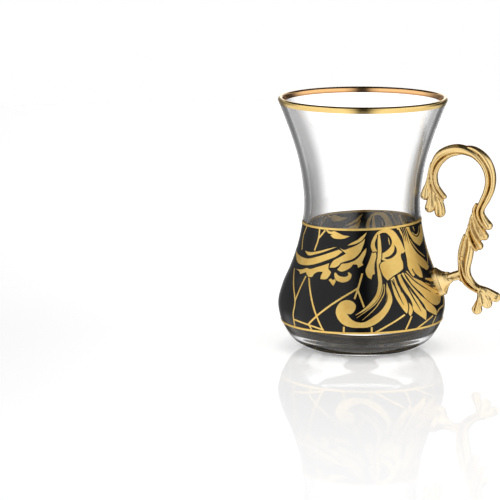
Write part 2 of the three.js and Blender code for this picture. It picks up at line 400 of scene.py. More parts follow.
def patch(edges, layer):
    """A slab between drawn edges. Each edge is smooth, and they meet end to end in sharp tips."""
    outline = np.concatenate([smooth(edge, EDGE_STEPS * len(edge))[:-1] for edge in edges])
    outline = outline * (math.radians(MEAN_RADIUS), 1)
    low, high = outline.min(axis=0) + 0.3 * CELL, outline.max(axis=0)
    inside = [(x, y) for x in np.arange(low[0], high[0], CELL) for y in np.arange(low[1], high[1], CELL)]
    points = [Vector(p) for p in np.concatenate([outline, np.array(inside).reshape(-1, 2)])]
    filled = delaunay_2d_cdt(points, [], [list(range(len(outline)))], 1, 1e-4)
    flat = np.array([tuple(p) for p in filled[0]])
    return slab(flat[:, 0] / MEAN_RADIUS, flat[:, 1], [tuple(face) for face in filled[2]], layer)


print("a test leaf has", len(ribbon([(0, 20), (10, 30)], [0, 2, 0], 1)[1]), "faces")

# %% [markdown]
# ## Drawing the ornament
#
# The print is baroque scrollwork of the kind found on old tea services: an acanthus branch sweeps in
# from the left, a C-scroll with a round head carries a looped stem, a smooth shield and a fan of
# feathers hang from it, and straight lines cross the ground like cracks in ice. Every stem and leaf
# gets a slightly wider black one under it, so that overlapping leaves stay apart as if outlined with
# a pen. A layer number says what lies over what: black outlines lie half a layer under their gold,
# hollows and veins half a layer over it.
#
# The crossing lines come first. They are the lowest layer, straight and all of one width.

# %% The lines that cross the ground
CRACK_WIDTH = 0.7
HAIR = 0.34
OUTLINE_WIDTH = 0.4
HALF_LAYER = 0.5

CRACKS = [
    [(-46.5, 50), (-46.5, 45.5), (-49, 41)],
    [(-38.5, 49.5), (-47, 45.4)],
    [(-67, 50), (-73, 45), (-69, 40)],
    [(-72.5, 32.5), (-62, 26.6), (-55, 21.2), (-56, 16), (-56.5, 11.5)],
    [(-51.5, 31.2), (-53.5, 26), (-55.2, 21.5)],
    [(-47.7, 31), (-41.5, 25.4), (-34, 17.5), (-29.5, 11.5)],
    [(-4.8, 28.6), (-17, 24.6), (-28, 20.1), (-41.3, 13.6)],
    [(-41.3, 13.6), (-39.2, 11.5)],
    [(-55.8, 14.3), (-41, 13.3), (-29, 12)],
    [(-1.5, 34), (-4.8, 28.3), (-7, 24.7)],
    [(-4.8, 28), (0.5, 20.8)],
    [(-14, 14), (-14.4, 11.5)],
    [(5, 14), (5.2, 11.5)],
    [(28.5, 18.2), (7.5, 11.7)],
    [(56, 15.8), (48, 14), (38.5, 11.5)],
    [(74.5, 18), (63, 17), (57, 11.5)],
    [(75, 18), (84, 26), (92, 44), (88, 50)],
    [(84, 26), (100, 20), (104, 11.5)],
    [(92, 44), (104, 38), (112, 34)],
    [(34, 17.4), (30.2, 11.8)],
]
print(len(CRACKS), "crossing lines")

# %% [markdown]
# The acanthus branch on the left is made of long leaves with lobed ends. Each patch below is a layer
# and its edges. An edge ends in a tip, and the next one starts there, so its start isn't written.

# %% The leaves of the branch on the left
LEFT_LEAVES = [
    (1, [
        [(-71, 37.7), (-55.5, 37.5), (-44, 38.9), (-33, 40.7), (-23, 42.4)],
        [(-19.5, 41.7)],
        [(-25, 39.8), (-32, 38.4), (-40.5, 36.8), (-49.5, 35.5), (-60.5, 34.8), (-69.5, 35.1),
         (-78, 36.7), (-86, 38.6)],
    ]),
    (1, [
        [(-53.5, 40.1), (-43, 41.1), (-33.5, 42.4), (-25, 43.4)],
        [(-33.5, 41.8), (-42.5, 40.3), (-55, 38.8), (-62.5, 40.1)],
    ]),
    (3, [
        [(-3, 45.4), (-8, 44.1), (-13, 43.2), (-18, 42.4), (-22.5, 43.2)],
        [(-19, 42), (-16, 41.1)],
        [(-21.5, 39.6), (-26.5, 38.3), (-28.5, 37), (-29.5, 35.5)],
        [(-25, 35.7), (-22, 36.4), (-20, 37.6)],
        [(-15.5, 38.3), (-9.5, 39.3), (-4, 41.4), (-1, 44.1), (1, 46.9)],
    ]),
    (3, [
        [(1.5, 41.5), (-0.5, 39.4), (-2, 37.8)],
        [(-1, 37.1), (-5, 36)],
        [(-6, 37.1), (-9.5, 37.2)],
        [(-11, 36.2), (-14, 35.2), (-18.5, 34.4), (-22.5, 35)],
        [(-20.5, 36.2), (-19, 37.2), (-15, 37.5), (-9.5, 38.3), (-5, 39.7), (-1.5, 41.7), (2, 43.4)],
    ]),
    (3, [
        [(-2, 47.8), (-6, 46.4), (-11, 45.3), (-15.5, 44.1)],
        [(-9, 44.7), (-3, 45.9), (0.5, 47.5), (2.5, 49.3)],
    ]),
    (1, [
        [(-59.5, 33.1), (-53.5, 34.1)],
        [(-48.5, 34), (-42.5, 35), (-37, 35.9), (-30.5, 37.1)],
        [(-30.5, 35.1), (-27.5, 34)],
        [(-28.5, 32.5), (-31, 31.2), (-36, 31)],
        [(-36, 32.4), (-35, 33.7)],
        [(-39.5, 33.5), (-43, 32.6), (-44.5, 31.4), (-48, 31)],
        [(-51, 31.9), (-52.5, 32.6)],
        [(-56.5, 31.9), (-59.5, 31.3)],
        [(-62, 32.2), (-68, 32.6)],
    ]),
    (1, [
        [(-26.9, 31.6), (-25.0, 31.1)],
        [(-23.3, 31.5), (-22.6, 30.6), (-23.8, 29.0)],
        [(-26.1, 30.0), (-28.4, 31.0)],
    ]),
    (1, [
        [(-33, 48.9), (-29, 49.2), (-24.5, 48.6), (-19.5, 47.9), (-13.5, 47.7)],
        [(-18.5, 46.7), (-24.5, 46.4), (-29.5, 46.6), (-33, 47.6)],
        [(-31, 47.9), (-35.5, 48.3), (-39, 49.6)],
    ]),
]
print(len(LEFT_LEAVES), "leaves on the branch")

# %% [markdown]
# The middle carries the large forms: the C-scroll with its round head, the shield, a small leaf and
# the big looped leaf at the top.

# %% The C-scroll, the shield and the loop in the middle
MIDDLE_LEAVES = [
    (3, [
        [(-9, 19.1), (-6.5, 20.6), (-6, 22.4), (-8.5, 23.8), (-12.5, 24.2), (-16.5, 23.4), (-19, 21.5),
         (-19.5, 19.2), (-17.5, 16.7), (-14, 14.8), (-8.5, 13.9), (-2.5, 13.8), (3, 14.1), (9.5, 16),
         (14.5, 18.7), (18, 21.5), (20, 24.1), (19.5, 26.6), (18, 29.2), (17.5, 30.6)],
        [(16.5, 28.3), (16, 25.1), (13.5, 22.3), (9.5, 19.8), (5, 17.7), (0, 16.1), (-4.5, 16),
         (-8.5, 17), (-12, 19.2)],
    ]),
    (3, [
        [(22.5, 38.6), (28, 39.2), (34, 40.5)],
        [(35, 38.6), (34.8, 36.5), (34, 34.9)],
        [(29, 33.7), (23.5, 32.6), (18.5, 31.1)],
        [(15.5, 32.9), (14, 34.8), (13.2, 36.6), (14.5, 37.6), (16.5, 38.1)],
    ]),
    (1, [
        [(10.6, 41.7)],
        [(10.6, 40.0), (9.1, 38.0), (8.4, 35.7), (8.6, 33.7)],
        [(6.6, 33.5)],
        [(5.5, 31.8)],
        [(3.0, 32.5), (1.6, 33.7), (1.1, 35.2), (2.8, 37.1), (4.8, 39.1), (6.9, 41.6)],
    ]),
    (3, [
        [(6, 44.1), (8, 46.8), (12.5, 49.2), (18.5, 50.2), (25.5, 50.1), (30.5, 48.8), (35, 46.1),
         (37.5, 43.9), (39.5, 41.2)],
        [(34, 39.9), (27, 38.7), (19.5, 38.3), (15.5, 38.8)],
        [(11.5, 41.8), (7.5, 41.8)],
    ]),
]
print(len(MIDDLE_LEAVES), "patches in the middle")

# %% [markdown]
# On the right a lobed leaf and a curled one lie over a fan of long feathers, which hangs from the
# shield.

# %% The feathers and the second branch on the right
RIGHT_LEAVES = [
    (3, [
        [(35.5, 48.5), (38, 46.4), (39, 43.9), (39.5, 41.5), (40, 38.6), (39.3, 35.5), (40.5, 33.2),
         (42.5, 31.5)],
        [(44.5, 32.1), (44, 33.4)],
        [(46, 32), (49, 31), (53, 30.5)],
        [(54, 32.6), (53, 34.7)],
        [(57.5, 33.4), (63.5, 32.7), (69, 33.5)],
        [(67, 35.2), (61.5, 37.5)],
        [(55.5, 39.4), (51.5, 41.5), (47.5, 44.7), (45.5, 47.6), (43.5, 49.9)],
        [(38, 50.1), (32.5, 50.3)],
    ]),
    (3, [
        [(47, 48), (50, 45.9), (54, 43.9), (61.5, 42)],
        [(66.5, 42.6), (73.5, 44), (78, 46), (80, 49.5)],
        [(71, 49.4)],
        [(69, 47.1), (63, 45.7), (58.5, 45.7), (53, 46.9), (50, 48.6), (49, 50)],
        [(44.5, 50.1)],
    ]),
    (1, [
        [(37, 31.3), (39, 29.1), (42.5, 27), (46.5, 24.8), (50, 22.6), (56, 20.3), (62, 19.4), (68, 20)],
        [(73, 22.8), (67, 24.4), (58, 26.8), (50.5, 29.3), (42.5, 31.2)],
        [(39, 32.2), (34.5, 33.4)],
    ]),
    (1, [
        [(34.5, 30.4), (38, 27.4), (41.5, 24.5), (46, 21), (49.5, 18.2), (61, 15.4)],
        [(60.5, 17.2), (57, 19.3), (51.5, 21.6), (45.5, 24.1), (41.5, 26.4), (38, 28.8), (35, 31.4),
         (33.5, 33.4), (31.5, 33.2)],
    ]),
    (1, [
        [(28.5, 29.7), (31, 26.7), (34, 24.3), (35.5, 22), (36.5, 19), (48, 14.7)],
        [(47.5, 18.2), (44.5, 20.1), (41, 23.3), (37, 26.2), (34, 29.4), (31.5, 31.8), (30.5, 33.1),
         (27.5, 32.7)],
    ]),
    (1, [
        [(21.5, 28.1), (22.5, 25.3), (24.5, 22.9), (27, 20.6), (30, 18.5)],
        [(31.5, 20.3), (31.5, 22.2), (30.5, 24.3), (28.5, 26.5), (26, 29.6), (24.5, 32.3), (21, 31.9)],
    ]),
    (1, [
        [(32.5, 20.7), (31.6, 18.7), (33, 17.3)],
        [(35, 19.1), (34.5, 21), (32.5, 22.6)],
    ]),
    (1, [
        [(84, 38), (84, 33), (78, 30)],
        [(80, 34), (77, 38), (79, 43)],
    ]),
]
print(len(RIGHT_LEAVES), "leaves and feathers on the right")

# %% [markdown]
# Where a leaf turns over, the print leaves a black hollow in the gold. Hollows are patches too.

# %% The hollows, black on gold
HOLLOWS = [
    (3, [
        [(10, 43.7), (10, 45.5), (12.5, 47.6), (16.5, 48.8), (21.5, 48.7), (25.5, 46.9), (26.5, 45),
         (24, 43.2), (19.5, 41.8), (16, 41.1), (14.5, 40.5), (12.5, 40.9), (11.5, 42.1)],
    ]),
    (3, [
        [(30.5, 42.7), (30, 40.9), (25.5, 39.4), (20, 38.9), (17.5, 39.5)],
        [(23, 40.1), (27, 41.4), (28.5, 42.8), (28.5, 44.1)],
    ]),
    (3, [
        [(34, 39.9), (34.3, 38.2), (35.5, 36.5), (35.3, 34.1)],
        [(39, 33.5), (42, 31.2)],
        [(39, 34.7), (38.5, 37.8), (37.8, 39.9), (35.5, 40.8)],
    ]),
]
LEAVES = [(layer, closed(edges)) for layer, edges in LEFT_LEAVES + MIDDLE_LEAVES + RIGHT_LEAVES]
print(len(LEAVES), "leaves and", len(HOLLOWS), "hollows")

# %% [markdown]
# Stems, tendrils and hairs are gold ribbons, and the veins that divide a leaf are black ones. Each is
# a layer, a spine and the widths along it.

# %% Stems and hairs in gold, veins in black, as ribbons
STEMS = [
    (1, [(-24, 33.8), (-21.5, 32.1), (-17, 31.5), (-13, 32), (-11.5, 33.3),
        (-13, 34.2)], [0.5, 2.0, 2.2, 1.8, 1.3, 0.3]),
    (1, [(14, 42), (12.5, 38.1), (12, 34.8), (12.4, 31.6), (11.8, 29.2), (9.5, 26), (6, 23.6), (1, 21.2),
        (-6, 18.7)], [1.2, 1.6, 1.2, 1.5, 1.5, 1.4, 1.3, 0.9, 0.1]),
    (1, [(14.5, 29.9), (12.5, 26.8), (9, 23.8), (4, 21.4), (-5.5, 17.6)], [0.2, HAIR, HAIR, HAIR, 0.1]),
    (1, [(15.5, 29.9), (14.5, 26.7), (10.5, 23.4), (6.5, 20.8),
        (-1.5, 16.8)], [0.2, HAIR, HAIR, HAIR, 0.1]),
    (4, [(14, 48.3), (14, 45.5), (14, 42.6), (13.2, 39.2)], [0.6, 1.3, 1.4, 1.5]),
    (4, [(23, 47), (23.5, 45.7), (24, 44.2)], [0.1, 0.4, 0.2]),
    (1, [(36, 34.6), (38, 33.3), (40.5, 31.8)], [0.5, 0.5, 0.1]),
    (1, [(47.5, 45.8), (51, 43.5), (57, 40.6), (63, 38.7), (67.5, 37.5)], [0.1, 0.4, 0.4, 0.5, 0.3]),
    (1, [(53, 47.6), (57, 46.5), (62.5, 46.5), (66.5, 47.7), (67.5, 49.3)], [0.5, 0.5, 0.5, 0.5, 0.4]),
    (1, [(55.5, 49.8), (57.5, 48)], [0.5, 0.2]),
    (1, [(56, 29.9), (63.5, 28.9), (74, 27.8)], [0.6, 1.4, 0.6]),
    (1, [(54, 28.6), (60, 27.3), (74, 26)], [0.2, 0.5, 0.3]),
    (1, [(62, 26.2), (67, 25.2), (76, 24.3)], [0.2, 0.7, 0.3]),
]
VEINS = [
    (3, [(17, 26.7), (16, 24.3), (13, 21.7), (8.5, 19.3), (3, 17.4)], [0.1, 0.4, 0.4, 0.35, 0.1]),
    (3, [(34.5, 49.6), (35.5, 48.3), (38, 46.4), (39, 43.9), (39.3, 41.8)], [0.5, 0.7, 0.6, 0.5, 0.2]),
    (3, [(37, 50.1), (39.5, 48.1), (40.5, 45)], [0.7, 0.6, 0.1]),
    (3, [(39.5, 50), (41.8, 47.6), (42.5, 44.6)], [0.7, 0.6, 0.1]),
    (3, [(42, 49.9), (44, 47.3), (45.5, 43.6)], [0.7, 0.6, 0.1]),
    (3, [(52, 36), (54.5, 34.6), (60.5, 32.8)], [0.1, 0.5, 0.5]),
    (3, [(43.5, 34.4), (45, 32.6), (49, 31)], [0.6, 0.6, 0.3]),
    (1, [(36.9, 33), (42.6, 30), (49.1, 27.5), (57.5, 24.8)], [0.5, 0.6, 0.6, 0.2]),
    (1, [(30.8, 32.7), (33, 29.5), (35.9, 25.7), (38.4, 22.9)], [0.6, 0.6, 0.5, 0.2]),
    (1, [(31.8, 32.7), (34.2, 28.4), (37.6, 23.7), (42.6, 18.5)], [0.5, 0.65, 0.65, 0.2]),
    (1, [(21.8, 31.2), (24.1, 28.1), (25.9, 25.1), (28.2, 21.9)], [0.5, 0.6, 0.55, 0.2]),
    (1, [(35.6, 47.2), (38.1, 44.7), (39, 42)], [0.3, 0.5, 0.3]),
    (1, [(64, 23.6), (71.8, 22.7), (82.5, 22.3)], [0.3, 0.7, 0.5]),
    (1, [(56.2, 29.4), (59.8, 27.5), (68.3, 26.2), (81.3, 25.5)], [0.3, 0.7, 0.7, 0.5]),
    (1, [(26.3, 32.4), (27.2, 29.5), (28.1, 26.4)], [0.5, 0.55, 0.2]),
    (1, [(23.5, 31.5), (24, 28.6), (25.5, 26.2)], [0.4, 0.35, 0.1]),
    (1, [(27, 32.2), (27.5, 29.9), (29, 27.8)], [0.4, 0.4, 0.1]),
    (1, [(-57, 38.6), (-46, 38.9), (-33, 40.9)], [0.1, 0.4, 0.1]),
]
print(len(STEMS), "stems and hairs,", len(VEINS), "veins")

# %% [markdown]
# ## Putting the panel together
#
# All gold goes into one flat mesh and all black into another. The black pen line of a patch is a
# ribbon along each of its edges, half hidden under the gold.

# %% Putting the panel together
def joined(name, parts, scale):
    """Several (points, faces) parts as one mesh, with the points scaled to metres."""
    verts, faces, count = [], [], 0
    for points, cells in parts:
        verts.append(points)
        faces += [tuple(i + count for i in cell) for cell in cells]
        count += len(points)
    mesh = bpy.data.meshes.new(name)
    mesh.from_pydata((np.concatenate(verts) * scale).tolist(), [], faces)
    return mesh


gold = [ribbon(line, [CRACK_WIDTH] * 2, 0) for line in CRACKS]
gold += [ribbon(spine, widths, layer) for layer, spine, widths in STEMS]
gold += [patch(edges, layer) for layer, edges in LEAVES]
black = [ribbon(spine, widths, layer - HALF_LAYER, OUTLINE_WIDTH) for layer, spine, widths in STEMS]
black += [
    ribbon(edge, [2 * OUTLINE_WIDTH] * 2, layer - HALF_LAYER) for layer, edges in LEAVES for edge in edges
]
black += [patch(closed(edges), layer + HALF_LAYER) for layer, edges in HOLLOWS]
black += [ribbon(spine, widths, layer + HALF_LAYER) for layer, spine, widths in VEINS]
flat_gold = joined("flat_gold", gold, (1, MM, MM))
flat_black = joined("flat_black", black, (1, MM, MM))
print("one panel:", len(flat_gold.polygons), "gold faces and", len(flat_black.polygons), "black ones")

# %% [markdown]
# ## Wrapping the print round the glass
#
# Two transfers go round the glass, and the far one is the mirror image of the near one, so that both
# meet in symmetry at the handle. Geometry Nodes do just that: they copy the flat panel, turn every
# other copy over, slide each round by an equal share of the turn, and then drop every point onto the
# real surface with a ray from outside towards the axis. The ray finds the glass wherever it bulges,
# so no formula of the outline is needed, and the hit's normal gives the paint its thickness.

# %% The tree that wraps the print
def wrap_tree(material):
    """A tree that repeats a flat panel round an upright turned object and lays it on its surface."""
    tree = bpy.data.node_groups.new("wrap_print_" + material.name, "GeometryNodeTree")
    face = tree.interface
    face.new_socket("Geometry", in_out="INPUT", socket_type="NodeSocketGeometry")
    face.new_socket("Wall", in_out="INPUT", socket_type="NodeSocketObject")
    face.new_socket("Repeats", in_out="INPUT", socket_type="NodeSocketInt")
    face.new_socket("Start", in_out="INPUT", socket_type="NodeSocketFloat")
    face.new_socket("Ray Start", in_out="INPUT", socket_type="NodeSocketFloat")
    face.new_socket("Geometry", in_out="OUTPUT", socket_type="NodeSocketGeometry")
    given = add(tree, "NodeGroupInput").outputs
    panel = add(tree, "GeometryNodeGeometryToInstance", {"Geometry": given["Geometry"]})
    copies = add(tree, "GeometryNodeDuplicateElements", {
        0: panel.outputs[0], "Amount": given["Repeats"]}, domain="INSTANCE")
    number = copies.outputs["Duplicate Index"]
    share = add(tree, "ShaderNodeMath", {0: 2 * math.pi, 1: given["Repeats"]}, operation="DIVIDE")
    slide = add(tree, "ShaderNodeMath", {
        0: number, 1: share.outputs[0], 2: given["Start"]}, operation="MULTIPLY_ADD")
    sideways = add(tree, "ShaderNodeCombineXYZ", {"X": slide.outputs[0]})
    odd = add(tree, "ShaderNodeMath", {0: number, 1: 2.0}, operation="MODULO")
    flip = add(tree, "ShaderNodeMath", {0: odd.outputs[0], 1: -2.0, 2: 1.0}, operation="MULTIPLY_ADD")
    over = add(tree, "ShaderNodeCombineXYZ", {"X": flip.outputs[0], "Y": 1.0, "Z": 1.0})
    handed = add(tree, "GeometryNodeScaleInstances", {
        "Instances": copies.outputs[0], "Scale": over.outputs[0]})
    spread = add(tree, "GeometryNodeTranslateInstances", {
        "Instances": handed.outputs[0], "Translation": sideways.outputs[0], "Local Space": False})
    loose = add(tree, "GeometryNodeRealizeInstances", {"Geometry": spread.outputs[0]})
    place = add(tree, "ShaderNodeSeparateXYZ", {0: add(tree, "GeometryNodeInputPosition").outputs[0]})
    sine = add(tree, "ShaderNodeMath", {0: place.outputs["X"]}, operation="SINE")
    cosine = add(tree, "ShaderNodeMath", {0: place.outputs["X"]}, operation="COSINE")
    behind = add(tree, "ShaderNodeMath", {0: cosine.outputs[0], 1: -1.0}, operation="MULTIPLY")
    outward = add(tree, "ShaderNodeCombineXYZ", {"X": sine.outputs[0], "Y": behind.outputs[0]})
    level = add(tree, "ShaderNodeCombineXYZ", {"Z": place.outputs["Y"]})
    far = add(tree, "ShaderNodeVectorMath", {
        0: outward.outputs[0], 1: given["Ray Start"], 2: level.outputs[0]}, operation="MULTIPLY_ADD")
    inward = add(tree, "ShaderNodeVectorMath", {0: outward.outputs[0], "Scale": -1.0}, operation="SCALE")
    wall = add(tree, "GeometryNodeObjectInfo", {"Object": given["Wall"]}, transform_space="RELATIVE")
    ray = add(tree, "GeometryNodeRaycast", {
        "Target Geometry": wall.outputs["Geometry"], "Source Position": far.outputs[0],
        "Ray Direction": inward.outputs[0], "Ray Length": given["Ray Start"]})
    paint = add(tree, "ShaderNodeVectorMath", {
        0: ray.outputs["Hit Normal"], "Scale": place.outputs["Z"]}, operation="SCALE")
    laid = add(tree, "ShaderNodeVectorMath", {
        0: ray.outputs["Hit Position"], 1: paint.outputs[0]}, operation="ADD")
    moved = add(tree, "GeometryNodeSetPosition", {"Geometry": loose.outputs[0], "Position": laid.outputs[0]})
    whole = add(tree, "GeometryNodeRealizeInstances", {"Geometry": moved.outputs[0]})
    coated = add(tree, "GeometryNodeSetMaterial", {"Geometry": whole.outputs[0], "Material": material})
    add(tree, "NodeGroupOutput", {"Geometry": coated.outputs[0]})
    return tree


print("the tree repeats, mirrors and wraps a flat panel")

# %% [markdown]
# The tree runs as a modifier on the flat mesh. Its inputs are set before the mesh is evaluated, and
# the evaluated result is kept as a plain mesh, which is what a file of the part can hold.

# %% Running the tree
PRINT_REPEATS = 2
RAY_START = 60


def wrapped(name, flat, material):
    """Runs the wrapping tree on a flat mesh and keeps its result as a plain mesh object."""
    source = placed(name + "_flat", flat)
    modifier = source.modifiers.new("wrap", "NODES")
    modifier.node_group = wrap_tree(material)
    values = {"Wall": glass, "Repeats": PRINT_REPEATS, "Start": VIEW_TURN, "Ray Start": RAY_START * MM}
    for socket in modifier.node_group.interface.items_tree:
        if socket.name in values:
            modifier[socket.identifier] = values[socket.name]
    ready = source.evaluated_get(bpy.context.evaluated_depsgraph_get())
    mesh = bpy.data.meshes.new_from_object(ready)
    bpy.data.objects.remove(source)
    mesh.name = name
    finish_mesh(mesh)
    print(name + ":", len(mesh.polygons), "faces")
    return placed(name, mesh)


print(PRINT_REPEATS, "panels will go round the glass")

# %% [markdown]
# ## Print gold
#
# The gold of the print is burnished liquid gold: a metal film a thousandth of a millimetre thick that
# takes the slight unevenness of the enamel below. It is a true metal, so its colour is the colour of
# its reflection, and a satin roughness keeps it evenly yellow where polished gold would go dark. Soft
# clouds a few millimetres wide are places where the film came out thinner.

# %% Print gold
print_gold, tree, shader = surface("liquid_gold_fired_satin", {"Metallic": 1.0, "Roughness": 0.52})
spot = add(tree, "ShaderNodeTexCoord")
cloud = add(tree, "ShaderNodeTexNoise", {
    "Vector": spot.outputs["Object"], "Scale": 1 / (4 * MM), "Detail": 3.0, "Roughness": 0.6})
tone = add(tree, "ShaderNodeMix", {
    "Factor": cloud.outputs["Fac"], 6: linear("E6B453"), 7: linear("FFE696")}, data_type="RGBA")
tree.links.new(tone.outputs[2], shader.inputs["Base Color"])
ripple(tree, shader, 0.35, 0.12, 0.05)

gold_print = wrapped("gold_print", flat_gold, print_gold)
black_print = wrapped("black_print", flat_black, black_enamel)

# %% [markdown]
# ## The two border lines
#
# A gold line closes the print above and below. Each is a full ring, banded by hand on a turntable,
# and it follows the outline, so it is turned from a short stretch of the same skin.

# %% The two border lines
BORDER_WIDTH = 0.8
BORDER_LIFT = 0.2
BORDER_DEPTH = SUNK + 0.1
BORDER_STEPS = 5


def ring_line(name, edge):
    """A painted ring along the band's lower (0) or upper (1) edge."""
    def slice_at(angle):
        low = band_edges(angle)[edge] - BORDER_WIDTH / 2
        high = low + BORDER_WIDTH
        outside = skin(low, high, BORDER_LIFT, BORDER_STEPS)
        return np.concatenate([outside, skin(low, high, -BORDER_DEPTH, BORDER_STEPS)[::-1]])

    return turned(name, slice_at, print_gold)


lower_line = ring_line("gold_line_lower", 0)
upper_line = ring_line("gold_line_upper", 1)
print("border lines at", BAND_LOW, "and", BAND_HIGH, "mm")

# %% [markdown]
# ## The gilded rim
#
# The lip is gilded by hand with bright gold, on the outside, over the top and a little way down the
# inside. Fired on bare polished glass it comes out like a mirror, with the lights and the dark gap
# between them drawn along it. The inside is a copy of the same gold, painted coppery and then darker
# brown towards its lower edge as painted shade.

# %% The gilded rim
GILDING_OUTSIDE = 1.15
GILDING_INSIDE = 0.85
GILDING_LIFT = 0.03
GILDING_STEPS = 8
BITE = 0.05

rim_gold, tree, shader = surface("bright_gold_rim_burnished", {
    "Base Color": linear("F3D187"), "Metallic": 1.0, "Roughness": 0.14})
ripple(tree, shader, 6, 0.05, 0.1)

# Painted shade: the inside copy is coppery near the lip and darker brown towards its lower edge.
rim_inside_painted_shade = rim_gold.copy()
rim_inside_painted_shade.name = "bright_gold_rim_inside_coppery"
tree, shader = rim_inside_painted_shade.node_tree, rim_inside_painted_shade.node_tree.nodes["Principled BSDF"]
spot = add(tree, "ShaderNodeTexCoord")
parts = add(tree, "ShaderNodeSeparateXYZ", {0: spot.outputs["Object"]})
toward_lip = add(tree, "ShaderNodeMapRange", {
    "Value": parts.outputs["Z"],
    "From Min": (OUTER[-1, 1] - GILDING_INSIDE) * MM, "From Max": OUTER[-1, 1] * MM})
fade = add(tree, "ShaderNodeMix", {
    "Factor": toward_lip.outputs["Result"], 6: linear("A8703C"), 7: linear("F8C488")}, data_type="RGBA")
tree.links.new(fade.outputs[2], shader.inputs["Base Color"])


def rim_outline(lift):
    """From the outer wall over the lip to the inner wall, lift off the glass."""
    outer = skin(OUTER[-1, 1] - GILDING_OUTSIDE, OUTER[-1, 1], lift, GILDING_STEPS)[:-1]
    inner_wall = inner_points(lift)
    inner_wall = inner_wall[inner_wall[:, 1] > OUTER[-1, 1] - GILDING_INSIDE][1:]
    return np.concatenate([outer, lip_points(lift), inner_wall])


rim = turned("gilded_rim", np.concatenate([rim_outline(GILDING_LIFT), rim_outline(-BITE)[::-1]]), rim_gold)
rim.data.materials.append(rim_inside_painted_shade)
crest = (OUTER[-1, 0] - LIP_RADIUS) * MM
for face in rim.data.polygons:
    face.material_index = int(Vector(face.center[:2]).length < crest)
print("gilded rim:", len(rim.data.polygons), "faces")

# %% [markdown]
# ## The cast handle: one rib
#
# The handle was modelled in wax, cast in zinc and plated. Cast scrollwork is a bundle of ribs and
# leaves that melt into each other, so each rib is swept along its own spine with a width in the
# plane of the handle and a depth across it. Leaves also get flutes, the long hollows that a
# modeller presses in with a round tool. A flute is given by its place across the rib, from -1 at
# one edge to 1 at the other, and fades in over the first third of the leaf.

# %% One rib of the handle
SECTION_POINTS = 36
STEPS_PER_STATION = 10
CAP_TURNS = np.radians([0, 20, 40, 58, 74, 86])
FLUTE_WIDTH = 0.24
FLUTE_RUN_IN = 3


def strand(stations, flutes=(), cut=0.0):
    """A rib with round ends. A station is (x, z, half width, half depth); flutes run along it."""
    stations = np.array(stations, float)
    steps = STEPS_PER_STATION * (len(stations) - 1) + 1
    path = smooth(stations, steps)
    tangent = np.gradient(path[:, :2], axis=0)
    tangent /= np.linalg.norm(tangent, axis=1)[:, None]
    rows = [(path[0], tangent[0], -np.sin(a), np.cos(a), 0.0) for a in CAP_TURNS[:0:-1]]
    rows += [(p, t, 0.0, 1.0, s) for p, t, s in zip(path, tangent, np.linspace(0, 1, steps))]
    rows += [(path[-1], tangent[-1], np.sin(a), np.cos(a), 1.0) for a in CAP_TURNS[1:]]
    turn = np.linspace(0, 2 * math.pi, SECTION_POINTS, endpoint=False)
    hollow = sum(np.exp(-(((np.cos(turn) - f) / FLUTE_WIDTH) ** 2)) for f in flutes) if flutes else 0
    verts = []
    for (x, z, width, depth), (tx, tz), ahead_by, scale, share in rows:
        wide = width * scale * np.cos(turn)
        deep = (depth - cut * min(1.0, FLUTE_RUN_IN * share) * hollow) * scale * np.sin(turn)
        side = x + tx * ahead_by * width - tz * wide
        verts.append(np.stack([side, deep, z + tz * ahead_by * width + tx * wide], axis=1))
    count, last = len(rows), SECTION_POINTS
    faces = [
        (j * last + k, j * last + (k + 1) % last, (j + 1) * last + (k + 1) % last, (j + 1) * last + k)
        for j in range(count - 1) for k in range(last)
    ]
    faces += [tuple(range(last))[::-1], tuple(range((count - 1) * last, count * last))]
    return np.concatenate(verts), faces


print("a straight test rib has", len(strand([(0, 0, 1, 1), (0, 5, 1, 1)])[1]), "faces")

# %% [markdown]
# The hook is the loop for the finger: an inner and an outer rib run side by side, a third starts
# inside the bend, and thin webs close the slits between them. Its tip opens into four leaves that
# almost touch the glass.

# %% The hook and the leaves at its tip
HOOK_FLUTE = 0.6

